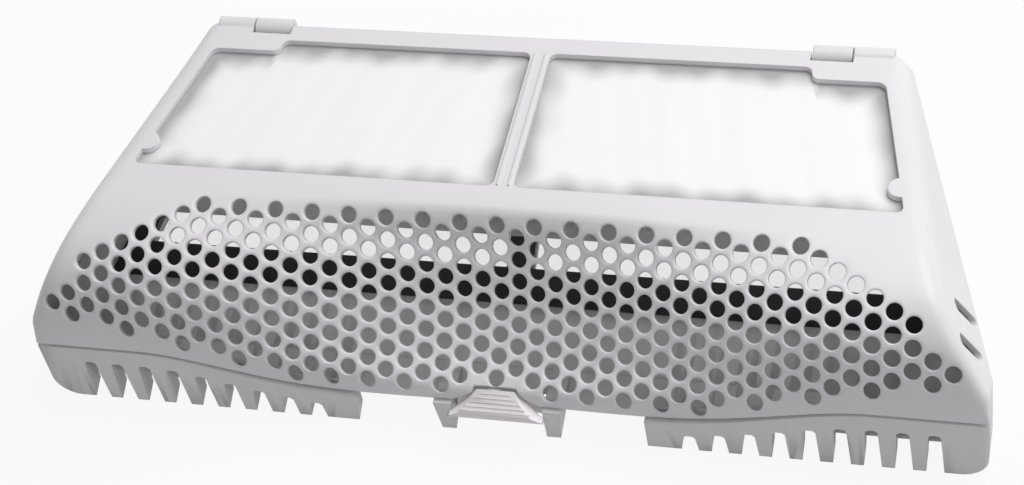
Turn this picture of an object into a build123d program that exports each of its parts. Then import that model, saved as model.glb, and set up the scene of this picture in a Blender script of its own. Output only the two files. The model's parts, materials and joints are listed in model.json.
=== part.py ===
"""Tumble dryer lint filter: two hinged leaves that close to a wedge round a lint pocket."""

import os
from math import atan2, ceil, cos, degrees, pi, radians, sin, sqrt

from build123d import *

# Driving dimensions, in millimetres and degrees.
# The leaves are drawn with the top plate flat: X runs along the hinge, Y to the back from the
# front edge of the windows and Z up from the plate. The finished pieces are then laid on the
# lower leaf, as the closed filter rests on a table.

# Overall form
END_HALF = 178.5            # half width over the ends of the grille
PLATE_HALF = 152.5          # half width of the top plate at the front edge of the windows
PLATE_TAPER = 0.22          # half width lost for each millimetre towards the back
END_FLARE = 0.42            # half width gained for each millimetre of depth at the end walls
BACK = 76.0                 # back edge of the top plate
REACH = 54.0                # front face of the grille, ahead of the windows
WALL = 2.4                  # wall of both mouldings

# Parting of the two leaves
EDGE_MID = 61.5             # depth of the grille's lower edge at the middle
EDGE_END = 46.0             # depth of the grille's lower edge at the ends
UPPER_BACK = 7.5            # depth of the upper leaf at the hinge
FOOT_FRONT = 76.8           # depth of the comb feet below the plate
FOOT_BACK = 19.0            # depth of the lower leaf at the hinge
PART_GAP = 0.6              # gap between the leaves along the parting

# Grille: a scoop at the middle that grows into a full roll at the shoulders
SHOULDER = 139.0            # half width at which the roll is complete
SCOOP = ((0.17, 0.0), (0.26, 0.09), (0.29, 0.25), (0.36, 0.38), (0.51, 0.60), (0.73, 0.78), (0.96, 0.95))
ROLL = ((0.22, 0.0), (0.34, 0.004), (0.52, 0.03), (0.67, 0.073), (0.89, 0.25), (0.98, 0.50), (1.0, 0.70))
ROLL_STEPS = (0.0, 0.09, 0.22, 0.34, 0.58, 0.80, 1.0)
SECTION_STEP = 4            # hole columns from one lofted section to the next
FLATS = 5                   # flats that the roll is drawn with, from plate to front face

# Round air holes, in staggered rows, drawn from the mould along one slanted line
HOLE_D = 6.0
HOLE_PITCH = 8.0
HOLE_SIDES = 4              # each round hole is drawn with this many flats, at its own open area
DRAW_ANGLE = 50.0           # slope of the hole axes below the plate
FIRST_ROW = 14.0            # first row's distance from the windows' front edge, across the draw
ROW_REACH = (16, 17, 18, 19, 20, 21, 22, 21, 22, 23, 24, 23, 20, 17, 14, 11)

# Windows of the upper leaf
WINDOW_DEPTH = 68.0
BAR_HALF = 3.7              # half width of the bar between the windows
SIDE_RAIL = 8.0             # rail between window and plate edge
NOTCH_WIDTH = 26.0          # hinge rail that narrows the outer back corner of each window
NOTCH_DEPTH = 6.0
CORNER_R = 3.0
BAR_RIB = 0.8               # fine ribs along the bar
STAKE_Y = 11.6              # round staking tab on each outer window edge
STAKE_R = 4.5
SCREEN = 0.6                # thickness of the mesh
SCREEN_LAP = 3.0            # mesh held beyond the window edge
SEAT = 0.05                 # fit of the mesh on its seat
LIP_Y = 6.0                 # lint lip ahead of the windows
LIP_DEPTH = 18.7

# Slanted vent slots in the end walls
VENT_LENGTH = 21.0
VENT_WIDTH = 4.5
VENT_LEAN = 18.0
VENT_Y = 38.0               # first slot ahead of the windows
VENT_Z = 25.0
VENT_STEP = 15.0

# Hinge
HINGE_X = 117.4             # joint between the inner and outer knuckle
HINGE_OUT = 1.0             # hinge line behind the plate
HINGE_DROP = 3.0            # hinge line below the plate top
KNUCKLE_R = 4.0
KNUCKLE_W = 15.0
KNUCKLE_GAP = 0.6
NOTCH_GAP = 1.5             # room between knuckle and the notch of the other leaf
PIN_R = 1.6
PIN_FIT = 0.05

# Lower leaf
FLOOR_LIFT = 2.0            # floor above the resting plane
FLOOR = 2.2
FLOOR_FRONT = 33.0          # front edge of the floor, ahead of the windows
FRAME_FRONT = 12.0          # front edge of the screen frame, ahead of the windows
FRAME_BACK = 8.0            # frame's distance from the back wall
FRAME_T = 3.0
FRAME_RAIL = 11.0
FRAME_BAR = 4.0
FRAME_FIT = 0.6             # gap round the frame
CROSS_BARS = 3

# Combs on the front of the lower leaf
COMB_DEPTH = 7.0
COMB_PITCH = 11.05
COMB_SLOTS = 9
FIRST_SLOT = 18.8           # outermost slot from the comb's outer end
COMB_INNER = 55.5           # inner end of each comb
SLOT_ROOT = 4.6             # slot width at its round top
SLOT_MOUTH = 6.4            # slot width at the feet
SLOT_COVER = 8.8            # band between parting and slot tops
FIN = 2.8                   # rear fin that ties each tooth to the floor
FIN_HEIGHT = 8.5
END_ROUND = 10.0

# Catch between the two legs at the middle
LEG_IN = 17.4
LEG_OUT = 24.2
LEG_FOOT = 5.4              # width of each leg at its foot
GRIP_TOP_HALF = 7.0
GRIP_FOOT_HALF = 18.3
GRIP_TOP = 55.6             # depth of the grip's upper edge
GRIP_FOOT = 62.0            # depth of the grip's lower edge
GRIP_OUT = 3.6              # grip's lower edge ahead of the grille
GRIP_RISE = 7.0             # grip's upper edge behind its lower edge
GRIP_T = 2.4
GRIP_SAG = 1.6              # hollow of the grip's flanks
CATCH_GAP = 1.0
ARM_HALF = 6.0
ARM_T = 3.0
PIVOT_BACK = 7.5            # pivot behind the front face
PIVOT_Z = 68.5
PIVOT_R = 2.6
TRUNNION_R = 1.5
TRUNNION_L = 2.4
LEG_FIT = 0.4               # side play of the catch between the legs

HOLE_COLUMN = HOLE_PITCH * sqrt(3) / 2
WEDGE = degrees(atan2(FOOT_FRONT - FOOT_BACK, BACK + REACH))
HINGE_AT = (BACK + HINGE_OUT, -HINGE_DROP)
PIVOT_AT = (-REACH + PIVOT_BACK, -PIVOT_Z)


def rest_z(y):
    """Height of the resting plane under the lower leaf."""
    return -FOOT_FRONT + (y + REACH) * (FOOT_FRONT - FOOT_BACK) / (BACK + REACH)


def end_half(y, z):
    """Half width between the slanted end walls of the upper leaf."""
    return PLATE_HALF - PLATE_TAPER * y - END_FLARE * z


def parting_z(y):
    """Lower edge of the upper leaf along its end walls."""
    return -EDGE_END + (y + REACH) * (EDGE_END - UPPER_BACK) / (BACK + REACH)


def shoulder_blend(x):
    """0 at the middle of the grille, 1 from the shoulders outwards."""
    t = min(abs(x) / SHOULDER, 1.0)
    return t * t * (3 - 2 * t)


def edge_z(x):
    """Lower edge of the grille's front face."""
    return -EDGE_MID + (EDGE_MID - EDGE_END) * shoulder_blend(x) ** 3


def sections():
    """Places of the lofted sections from the middle to past the shoulder, each between two hole columns."""
    count = ceil((SHOULDER / HOLE_COLUMN - 0.5) / SECTION_STEP)
    return [HOLE_COLUMN * (0.5 + SECTION_STEP * i) for i in range(count + 1)]


def seam_z(x):
    """Lower edge of the grille as lofted, straight from one section to the next."""
    places = [0.0] + sections() + [END_HALF]
    before, after = next((a, b) for a, b in zip(places, places[1:]) if x <= b)
    return edge_z(before) + (edge_z(after) - edge_z(before)) * (x - before) / (after - before)


def grille_profile(x, inset):
    """Points of the grille's section at x, moved inwards by inset."""
    w = shoulder_blend(x)
    points = []
    for (sy, sz), (ry, rz) in zip(SCOOP, ROLL):
        points.append(Vector(-REACH * (sy + w * (ry - sy)), -EDGE_MID * (sz + w * (rz - sz))))
    moved = [points[0] - Vector(0, inset)]
    for before, point, after in zip(points, points[1:], points[2:]):
        along = (after - before).normalized()
        moved.append(point + inset * Vector(-along.Y, along.X))
    return moved + [points[-1] + Vector(inset, 0)]


def leaf_section(x, inset):
    """Closed section of the upper leaf at x; an inset section is open to below."""
    through = Edge.make_spline(
        grille_profile(x, inset), tangents=(Vector(-1, 0), Vector(0, -1)), parameters=ROLL_STEPS)
    curve = [through.position_at(i / FLATS, PositionMode.PARAMETER) for i in range(FLATS + 1)]
    roll = Polyline(*curve)
    back = BACK - inset
    front_foot = edge_z(x) - 10 * inset
    back_foot = -UPPER_BACK - 10 * inset
    rest = Polyline(curve[-1], (curve[-1].X, front_foot), (back, back_foot), (back, -inset), curve[0])
    return Plane.YZ.offset(x) * make_face(roll + rest)


def leaf_body(inset):
    """Upper leaf as a full body between its slanted ends, inset by one wall for its hollow."""
    last = END_HALF - inset
    stations = [-last] + [-x for x in reversed(sections())] + sections() + [last]
    body = loft([leaf_section(x, inset) for x in stations], ruled=True)
    slack = inset * sqrt(1 + PLATE_TAPER ** 2 + END_FLARE ** 2)
    ends = []
    for z in (WALL, -FOOT_FRONT - 10 * WALL):
        front, back = (end_half(y, z) - slack for y in (-REACH, BACK))
        ends.append(Pos(0, 0, z) * make_face(Polyline(
            (-front, -REACH), (front, -REACH), (back, BACK), (-back, BACK), close=True)))
    return body & loft(ends, ruled=True)


def air_holes():
    """Prisms of all air holes, along the draw direction, ending ahead of the lint lip."""
    slope = radians(DRAW_ANGLE)
    draw = Plane((0, 0, 0), x_dir=(1, 0, 0), z_dir=(0, cos(slope), -sin(slope)))
    corner_r = HOLE_D / 2 * sqrt(2 * pi / (HOLE_SIDES * sin(2 * pi / HOLE_SIDES)))
    flat = RegularPolygon(corner_r, HOLE_SIDES, rotation=180 / HOLE_SIDES)
    arch_half = GRIP_TOP_HALF + CATCH_GAP + HOLE_D / 2
    holes = []
    for row, reach in enumerate(ROW_REACH):
        across = FIRST_ROW + row * HOLE_PITCH / 2
        to_lip = (across * sin(slope) - LIP_Y - WALL) / cos(slope)
        prism = Pos(0, across, -REACH / 2) * extrude(flat, REACH / 2 + min(to_lip, REACH / 2))
        in_last = row == len(ROW_REACH) - 1
        for k in range(-reach, reach + 1, 2):
            x = k * HOLE_COLUMN
            if in_last and abs(x) < arch_half:
                continue
            holes.append(draw * Pos(x, 0, 0) * prism)
    return holes


def plan_window(side):
    """Outline of one mesh window, with the rail of the hinge in its outer back corner."""
    def outer(y):
        return end_half(y, 0) - SIDE_RAIL

    notch_x = outer(WINDOW_DEPTH) - NOTCH_WIDTH
    notch_y = WINDOW_DEPTH - NOTCH_DEPTH
    outline = make_face(Polyline(
        (BAR_HALF, 0), (outer(0), 0), (outer(notch_y), notch_y), (notch_x, notch_y),
        (notch_x, WINDOW_DEPTH), (BAR_HALF, WINDOW_DEPTH), close=True))
    window = fillet(outline.vertices(), CORNER_R)
    stake = Pos(outer(STAKE_Y), STAKE_Y) * Circle(STAKE_R)
    window = window - stake
    return window if side > 0 else mirror(window, Plane.YZ)


def bell(top_half, foot_half, top_z, foot_z, sag, reach):
    """Block with hollow flanks, wide at its foot, drawn in the front view and run along Y."""
    middle = (top_half + foot_half) / 2 - sag
    half_z = (top_z + foot_z) / 2
    right = ThreePointArc((foot_half, foot_z), (middle, half_z), (top_half, top_z))
    left = ThreePointArc((-top_half, top_z), (-middle, half_z), (-foot_half, foot_z))
    sides = right + left + Line((top_half, top_z), (-top_half, top_z)) + Line((-foot_half, foot_z), (foot_half, foot_z))
    return extrude(Plane.XZ * make_face(sides), reach, both=True)


def along_x(points, start, end):
    """Prism of a side-view outline between two places along X."""
    return Pos(start, 0, 0) * extrude(Plane.YZ * make_face(Polyline(*points, close=True)), end - start)


def rod(centre, radius, start, end):
    """Cylinder along X about a point of the side view."""
    return extrude(Plane.YZ.offset(start) * Pos(*centre) * Circle(radius), end - start)


def both_sides(piece):
    """A piece with its mirror image across the middle."""
    return piece + mirror(piece, Plane.YZ)


def upper_leaf():
    """One moulding: top plate with two windows, perforated grille, end walls and outer knuckles."""
    leaf = leaf_body(0) - leaf_body(WALL)
    for side in (1, -1):
        leaf -= extrude(plan_window(side), -2 * WALL)
    lip = Pos(0, -LIP_Y, -LIP_DEPTH / 2) * Box(2 * END_HALF, WALL, LIP_DEPTH)
    leaf += lip & leaf_body(0)
    arch = bell(GRIP_TOP_HALF + CATCH_GAP, GRIP_FOOT_HALF + CATCH_GAP, -GRIP_TOP + CATCH_GAP, -GRIP_FOOT, GRIP_SAG, 2 * REACH)
    leaf -= arch & Pos(0, -REACH, -GRIP_TOP) * Box(2 * END_HALF, REACH, REACH)
    for step in (0, 1):
        vent = Pos(-VENT_Y + step * VENT_STEP, -VENT_Z) * Rot(0, 0, 90 + VENT_LEAN) * SlotOverall(VENT_LENGTH, VENT_WIDTH)
        leaf -= extrude(Plane.YZ * vent, 2 * END_HALF, both=True) - Box(2 * PLATE_HALF - 4 * WALL, 4 * BACK, 4 * REACH)
    notch_front = HINGE_AT[0] - KNUCKLE_R - NOTCH_GAP
    knuckle = rod(HINGE_AT, KNUCKLE_R, HINGE_X + KNUCKLE_GAP / 2, HINGE_X + KNUCKLE_W)
    bore = rod(HINGE_AT, PIN_R + PIN_FIT, HINGE_X - KNUCKLE_W, HINGE_X + KNUCKLE_W)
    notch = along_x(
        ((notch_front, WALL), (BACK + WALL, WALL), (BACK + WALL, -2 * UPPER_BACK), (notch_front, -2 * UPPER_BACK)),
        HINGE_X - KNUCKLE_W - KNUCKLE_GAP, HINGE_X + KNUCKLE_GAP / 2)
    leaf = leaf - both_sides(notch) + both_sides(knuckle) - both_sides(bore)
    for side in (-1, 1):
        rib = Pos(side * (BAR_HALF - 2 * BAR_RIB), WINDOW_DEPTH / 2, 0) * Box(BAR_RIB, WINDOW_DEPTH, BAR_RIB)
        leaf += rib
    return leaf - air_holes()


def upper_screen(side):
    """Mesh of one upper window, seated under the plate."""
    inner = BAR_HALF - SCREEN_LAP + CORNER_R / 2
    front = -SCREEN_LAP
    back = WINDOW_DEPTH + SCREEN_LAP
    outline = Polyline(
        (inner, front), (end_half(front, 0) - SIDE_RAIL + SCREEN_LAP, front),
        (end_half(back, 0) - SIDE_RAIL + SCREEN_LAP, WINDOW_DEPTH - NOTCH_DEPTH + SCREEN_LAP),
        (end_half(back, 0) - SIDE_RAIL - NOTCH_WIDTH + SCREEN_LAP, WINDOW_DEPTH - NOTCH_DEPTH + SCREEN_LAP),
        (end_half(back, 0) - SIDE_RAIL - NOTCH_WIDTH + SCREEN_LAP, back), (inner, back), close=True)
    sheet = Pos(0, 0, -WALL - SEAT - SCREEN) * extrude(make_face(outline), SCREEN)
    return sheet if side > 0 else mirror(sheet, Plane.YZ)


def lower_half(y):
    """Half width of the lower leaf, flush with the lower edge of the end walls above."""
    return min(END_HALF, end_half(y, parting_z(y)))


def lower_plan(inset, front):
    """Plan outline of the lower leaf from a front line to the hinge."""
    slope = PLATE_TAPER + END_FLARE * (EDGE_END - UPPER_BACK) / (BACK + REACH)
    bend = -(END_HALF - end_half(0, parting_z(0))) / slope
    back = BACK - inset
    stations = [front, back] if front >= bend else [front, bend, back]
    right = [(lower_half(y) - inset, y) for y in stations]
    return make_face(Polyline(*right, *[(-x, y) for x, y in reversed(right)], close=True))


def floor_layer(low, high, front, back):
    """Side-view slab parallel to the resting plane, between two heights above it."""
    rise = 1 / cos(radians(WEDGE))
    points = [(front, rest_z(front) + low * rise), (back, rest_z(back) + low * rise),
              (back, rest_z(back) + high * rise), (front, rest_z(front) + high * rise)]
    return along_x(points, -2 * END_HALF, 2 * END_HALF)


def plan_column(sketch):
    """Plan outline run through the whole height of the filter."""
    return Pos(0, 0, -2 * FOOT_FRONT) * extrude(sketch, 4 * FOOT_FRONT)


def lower_window(lap):
    """Plan outlines of the two lower windows, grown by the lap of their mesh."""
    front = -FRAME_FRONT + FRAME_RAIL - lap
    back = BACK - FRAME_BACK - FRAME_RAIL / 2 + lap
    inner = FRAME_BAR / 2 + SCREEN_LAP - lap
    rail = SIDE_RAIL + WALL + FRAME_RAIL / 2 - lap
    return make_face(Polyline(
        (inner, front), (lower_half(front) - rail, front), (lower_half(back) - rail, back), (inner, back), close=True))


def comb_places(count, lead, width):
    """Places along the right-hand comb, inner ones first, as far in as the comb reaches."""
    first = lower_half(-REACH) - FIRST_SLOT + lead * COMB_PITCH
    places = [first - i * COMB_PITCH for i in reversed(range(count))]
    return [x for x in places if x - width / 2 > COMB_INNER]


def comb():
    """Right-hand comb: a band under the parting with tapered teeth and round slot tops."""
    end = lower_half(-REACH)
    places = [COMB_INNER] + [x for x in sections() if COMB_INNER < x < end] + [end]
    top = [(x, seam_z(x) - PART_GAP) for x in places]
    face = make_face(Polyline(*top, (end, -FOOT_FRONT), (COMB_INNER, -FOOT_FRONT), close=True))
    corner = face.vertices().sort_by(lambda v: v.X - v.Y)[-1]
    face = fillet(corner, END_ROUND)
    for x in comb_places(COMB_SLOTS, 0, SLOT_MOUTH):
        root_z = edge_z(x) - PART_GAP - SLOT_COVER
        slot = make_face(Polyline(
            (x - SLOT_MOUTH / 2, -FOOT_FRONT), (x + SLOT_MOUTH / 2, -FOOT_FRONT),
            (x + SLOT_ROOT / 2, root_z - SLOT_ROOT / 4), (x + SLOT_ROOT / 4, root_z),
            (x - SLOT_ROOT / 4, root_z), (x - SLOT_ROOT / 2, root_z - SLOT_ROOT / 4), close=True))
        face -= slot
    return Pos(0, -REACH + COMB_DEPTH, 0) * extrude(Plane.XZ * face, COMB_DEPTH)


def lower_leaf():
    """One moulding: floor with two windows, low walls, combs, catch legs and inner knuckles."""
    parting = [(-REACH, parting_z(-REACH) - PART_GAP), (BACK, parting_z(BACK) - PART_GAP)]
    wall_side = along_x(
        [(-REACH, rest_z(-REACH)), (BACK, rest_z(BACK)), parting[1], parting[0]], -2 * END_HALF, 2 * END_HALF)
    ring = plan_column(lower_plan(0, -REACH)) - plan_column(lower_plan(WALL, -2 * REACH))
    leaf = ring & wall_side
    floor = plan_column(lower_plan(0, -FLOOR_FRONT)) & floor_layer(FLOOR_LIFT, FLOOR_LIFT + FLOOR, -REACH, BACK)
    leaf += floor - plan_column(lower_window(0)) - mirror(plan_column(lower_window(0)), Plane.YZ)
    rise = 1 / cos(radians(WEDGE))
    fin_top = rest_z(-FLOOR_FRONT) + (FLOOR_LIFT + FLOOR) * rise
    fin_side = ((-REACH + WALL, -FOOT_FRONT), (-REACH + WALL, -FOOT_FRONT + FIN_HEIGHT), (-FLOOR_FRONT + WALL, fin_top),
                (-FLOOR_FRONT + WALL, rest_z(-FLOOR_FRONT)))
    half = comb()
    for x in comb_places(COMB_SLOTS + 1, 0.5, FIN):
        half += along_x(fin_side, x - FIN / 2, x + FIN / 2)
    leg_top = edge_z(0) - PART_GAP
    leg_side = ((-REACH, -FOOT_FRONT), (-REACH, leg_top), (-REACH + COMB_DEPTH, leg_top), (-FLOOR_FRONT + WALL, fin_top),
                (-FLOOR_FRONT + WALL, rest_z(-FLOOR_FRONT)))
    leg_front = make_face(Polyline(
        (LEG_IN, leg_top), (LEG_OUT, leg_top), (LEG_IN + LEG_FOOT, -FOOT_FRONT), (LEG_IN, -FOOT_FRONT), close=True))
    half += along_x(leg_side, LEG_IN, LEG_OUT) & extrude(Plane.XZ * leg_front, 2 * REACH, both=True)
    half -= rod(PIVOT_AT, TRUNNION_R + PIN_FIT, LEG_IN - 1, LEG_IN + TRUNNION_L + LEG_FIT)
    below = along_x(((-2 * REACH, rest_z(-2 * REACH)), (BACK, rest_z(BACK)), (BACK, -2 * FOOT_FRONT), (-2 * REACH, -2 * FOOT_FRONT)),
                    -2 * END_HALF, 2 * END_HALF)
    half -= below
    arm_side = ((HINGE_AT[0] - KNUCKLE_R, HINGE_AT[1]), (HINGE_AT[0] + KNUCKLE_R, HINGE_AT[1]), (BACK, rest_z(BACK) + FLOOR_LIFT),
                (BACK - WALL, rest_z(BACK) + FLOOR_LIFT))
    start, end = HINGE_X - KNUCKLE_W, HINGE_X - KNUCKLE_GAP / 2
    half += along_x(arm_side, start, end) + rod(HINGE_AT, KNUCKLE_R, start, end)
    half -= rod(HINGE_AT, PIN_R + PIN_FIT, start, end)
    return leaf + both_sides(half)


def lower_screen(side):
    """Mesh of one lower window, laid on the floor."""
    low = FLOOR_LIFT + FLOOR + SEAT
    sheet = plan_column(lower_window(SCREEN_LAP * 2 / 3)) & floor_layer(low, low + SCREEN, -REACH, BACK)
    return sheet if side > 0 else mirror(sheet, Plane.YZ)


def screen_frame():
    """Dark grid that clips the lower screens to the floor."""
    low = FLOOR_LIFT + FLOOR + SCREEN + 2 * SEAT
    front, back = -FRAME_FRONT, BACK - WALL - FRAME_BACK / 2
    halves = [(lower_half(y) - WALL - FRAME_FIT - SIDE_RAIL / 2, y) for y in (front, back)]
    plan = make_face(Polyline(*halves, *[(-x, y) for x, y in reversed(halves)], close=True))
    opening = lower_window(0)
    first, last = -FRAME_FRONT + FRAME_RAIL, BACK - FRAME_BACK - FRAME_RAIL / 2
    for i in range(CROSS_BARS):
        y = first + (last - first) * (i + 1) / (CROSS_BARS + 1)
        opening -= Pos(0, y) * Rectangle(4 * END_HALF, FRAME_BAR)
    grid = plan_column(plan) - plan_column(opening) - mirror(plan_column(opening), Plane.YZ)
    return grid & floor_layer(low, low + FRAME_T, -REACH, BACK)


def catch():
    """Finger grip on an arm, pivoted between the legs of the lower leaf."""
    lip_y, lip_z = -REACH - GRIP_OUT, -GRIP_FOOT
    top_y, top_z = lip_y + GRIP_RISE, -GRIP_TOP
    slab = along_x(((top_y, top_z), (lip_y, lip_z), (lip_y, lip_z - GRIP_T), (lip_y + GRIP_T, lip_z - GRIP_T),
                    (top_y + GRIP_T, top_z - GRIP_T)), -END_HALF, END_HALF)
    grip = slab & bell(GRIP_TOP_HALF, GRIP_FOOT_HALF, top_z, lip_z - GRIP_T, GRIP_SAG, 2 * REACH)
    arm = along_x(((top_y + GRIP_T / 2, top_z - GRIP_T / 2), (top_y + GRIP_T, top_z - GRIP_T),
                   (PIVOT_AT[0] + ARM_T / 2, PIVOT_AT[1]), (PIVOT_AT[0] - ARM_T / 2, PIVOT_AT[1]),
                   (top_y - ARM_T, top_z - 2 * GRIP_T)), -ARM_HALF, ARM_HALF)
    barrel = rod(PIVOT_AT, PIVOT_R, -LEG_IN + LEG_FIT, LEG_IN - LEG_FIT)
    pins = rod(PIVOT_AT, TRUNNION_R, -LEG_IN - TRUNNION_L, LEG_IN + TRUNNION_L)
    return grip + arm + barrel + pins


def hinge_pin(side):
    """Steel pin through one pair of knuckles."""
    pin = rod(HINGE_AT, PIN_R, HINGE_X - KNUCKLE_W, HINGE_X + KNUCKLE_W)
    return pin if side > 0 else mirror(pin, Plane.YZ)


def build():
    """All pieces by node name, laid on the lower leaf with the origin under the middle."""
    pieces = {
        "lower_leaf": lower_leaf(),
        "upper_leaf": upper_leaf(),
        "catch": catch(),
        "screen_frame": screen_frame(),
        "upper_screen_left": upper_screen(-1),
        "upper_screen_right": upper_screen(1),
        "lower_screen_left": lower_screen(-1),
        "lower_screen_right": lower_screen(1),
        "hinge_pin_left": hinge_pin(-1),
        "hinge_pin_right": hinge_pin(1),
    }
    laid = {name: Rot(-WEDGE, 0, 0) * piece for name, piece in pieces.items()}
    box = Compound(children=[Part() + piece for piece in laid.values()]).bounding_box()
    shift = Pos(0, -(box.min.Y + box.max.Y) / 2, -box.min.Z)
    return {name: shift * piece for name, piece in laid.items()}


if __name__ == "__main__":
    os.makedirs("parts", exist_ok=True)
    for name, piece in build().items():
        export_step(piece, f"parts/{name}.step")
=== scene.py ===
"""Looks of a tumble dryer lint filter, built as an add-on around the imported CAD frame."""

import json
import math

import bmesh
import bpy
from mathutils import Matrix, Vector
from mathutils.bvhtree import BVHTree


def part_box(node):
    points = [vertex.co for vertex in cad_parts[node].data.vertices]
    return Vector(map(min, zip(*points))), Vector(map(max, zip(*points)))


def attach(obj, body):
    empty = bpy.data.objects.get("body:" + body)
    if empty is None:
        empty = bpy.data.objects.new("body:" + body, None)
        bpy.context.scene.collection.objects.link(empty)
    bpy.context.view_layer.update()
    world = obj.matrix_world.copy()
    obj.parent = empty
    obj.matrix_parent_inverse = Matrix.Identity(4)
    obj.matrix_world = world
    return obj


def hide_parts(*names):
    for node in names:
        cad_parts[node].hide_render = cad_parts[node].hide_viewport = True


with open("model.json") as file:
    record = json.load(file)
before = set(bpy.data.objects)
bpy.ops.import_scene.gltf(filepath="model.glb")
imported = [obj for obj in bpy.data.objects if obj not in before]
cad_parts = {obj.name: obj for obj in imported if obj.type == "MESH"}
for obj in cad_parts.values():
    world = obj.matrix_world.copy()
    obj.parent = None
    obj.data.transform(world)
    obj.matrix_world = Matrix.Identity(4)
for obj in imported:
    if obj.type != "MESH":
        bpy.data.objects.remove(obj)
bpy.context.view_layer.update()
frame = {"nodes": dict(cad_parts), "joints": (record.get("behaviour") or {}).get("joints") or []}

bl_info = {
    "name": "Lint filter",
    "version": (1, 0, 0),
    "blender": (4, 5, 0),
    "location": "View3D > Sidebar > Filter",
    "description": "Models the leaves, screens, catch and stage of a tumble dryer lint filter",
    "category": "Object",
}

MM = 0.001

# Form of the mouldings, in millimetres. The leaves are drawn with the plate flat: X runs along the
# hinge, Y to the back from the front edge of the windows and Z up from the plate.

# Overall form and parting
END_HALF = 178.5
PLATE_HALF = 152.5
PLATE_TAPER = 0.22
END_FLARE = 0.42
BACK = 76.0
REACH = 54.0
WALL = 2.4
EDGE_MID = 61.5
EDGE_END = 46.0
UPPER_BACK = 7.5
FOOT_FRONT = 76.8
FOOT_BACK = 19.0
PART_GAP = 0.6
SEAM_SHOWN = 1.4

# Grille: a scoop at the middle that grows into a full roll at the shoulders
SHOULDER = 139.0
SCOOP = ((0.17, 0.0), (0.26, 0.09), (0.29, 0.25), (0.36, 0.38), (0.51, 0.60), (0.73, 0.78), (0.96, 0.95))
ROLL = ((0.22, 0.0), (0.34, 0.004), (0.52, 0.03), (0.67, 0.073), (0.89, 0.25), (0.98, 0.50), (1.0, 0.70))
STEPS = (0.0, 0.09, 0.22, 0.34, 0.58, 0.80, 1.0)

# Air holes in staggered rows, along one slanted draw direction
HOLE_PITCH = 8.0
HOLE_COLUMN = HOLE_PITCH * math.sqrt(3) / 2
SECTION_STEP = 4
DRAW = math.radians(50.0)
DRAW_AXIS = Vector((0, math.cos(DRAW), -math.sin(DRAW)))
DRAW_DOWN = Vector((0, -math.sin(DRAW), -math.cos(DRAW)))
FIRST_ROW = 14.0
ROW_REACH = (16, 17, 18, 19, 20, 21, 22, 21, 22, 23, 24, 23, 20, 17, 14, 11)
MOUTH_ARC = (20.0, 45.0, 70.0, 90.0)
LEAST_LEAN = 0.4

# Windows, bar and lint lip
WINDOW_DEPTH = 68.0
WINDOW_CORNER = 3.0
BAR_HALF = 3.7
SIDE_RAIL = 8.0
NOTCH_WIDTH = 26.0
NOTCH_DEPTH = 6.0
STAKE_Y = 11.6
STAKE_R = 4.5
BAR_RIB = 0.8
RIB_END = 0.5
LIP_Y = 6.0
LIP_DEPTH = 18.7

# Slanted vents in the end walls
VENT_LENGTH = 21.0
VENT_WIDTH = 4.5
VENT_LEAN = math.radians(18.0)
VENT_Y = 38.0
VENT_Z = 25.0
VENT_STEP = 15.0

# Hinge
HINGE = Vector((0.0, 77.0, -3.0))
HINGE_X = 117.4
KNUCKLE_R = 4.0
KNUCKLE_W = 15.0
KNUCKLE_GAP = 0.6
NOTCH_GAP = 1.5
BORE_R = 1.65

# Arch over the catch, and the catch's grip
ARCH_TOP = 8.0
ARCH_FOOT = 19.3
ARCH_HIGH = 54.6
ARCH_LOW = 62.5
ARCH_SAG = 1.6
GRIP_TOP_HALF = 7.0
GRIP_FOOT_HALF = 18.3
GRIP_TOP = Vector((-50.6, -55.6))
GRIP_FOOT = Vector((-57.6, -62.0))
GRIP_RIBS = 5
GRIP_RIB_R = 0.16
GRIP_RIB_FIRST = 0.16
GRIP_RIB_SPAN = 0.7
GRIP_RIB_INSET = 3.2

# Combs, and the front of the floor behind them
END_ROUND = 10.0
END_ROUND_BACK = 25.0
LEG_OUT = 24.2
COMB_INNER = 55.5
COMB_DEPTH = 7.0
SEAM_CUTS = 31
STRIP_BACK = -32.5
STRIP_FRONT = -45.4
STRIP_AT_CATCH = -41.0
STRIP_LOW = 2.4
STRIP_HIGH = 3.8
STRIP_END = 1.2
TONGUE_STEPS = 40
TONGUE_ABOVE = 1.4
TONGUE_BELOW = 3.0
TONGUE_BACK = 1.0
TONGUE_THICK = 1.0

# Screens: slack cloth, with waves given as height, turn along X, turn along Y and lead
SCREEN_LAP = 3.0
SCREEN_INNER = 2.2
SCREEN_FIT = 0.1
SCREEN_SEAT = 0.05
SCREEN_THICK = 0.3
SCREEN_COLUMNS = 120
SCREEN_ROWS = 60
SLACK_RUN = 9.0
UPPER_SLACK = 0.25
LOWER_SLACK = 0.2
LOWER_SEAT = 4.0
LOWER_CUTS = 40
UPPER_WAVES = ((1.0, 0.19, 0.0, 0.6), (0.7, 0.47, 0.11, 0.0), (0.5, 0.05, 0.31, 0.0))
LOWER_WAVES = ((1.0, 0.21, 0.0, 0.4), (0.6, 0.43, 0.13, 0.0), (0.5, 0.0, 0.29, 0.0))
# Painted shade along the edges of the upper screens: where it starts, how far its border wavers and how
# steeply it fades
SHADE_START = 1.5
SHADE_WAVER = 1.1
SHADE_FALL = 1.6
THREAD_PITCH = 0.55

# From the drawn leaf to the frame, in which the closed filter lies on its lower leaf
WEDGE = math.atan2(FOOT_FRONT - FOOT_BACK, BACK + REACH)
HINGE_AT = Vector(frame["joints"][0]["pos_m"])
TURN = Matrix.Rotation(-WEDGE, 4, "X")
LAY = Matrix.Translation(HINGE_AT) @ TURN @ Matrix.Scale(MM, 4) @ Matrix.Translation(-HINGE)


def laid(point):
    """A point of the drawn leaf, in the frame."""
    return LAY @ Vector(point)


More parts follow.
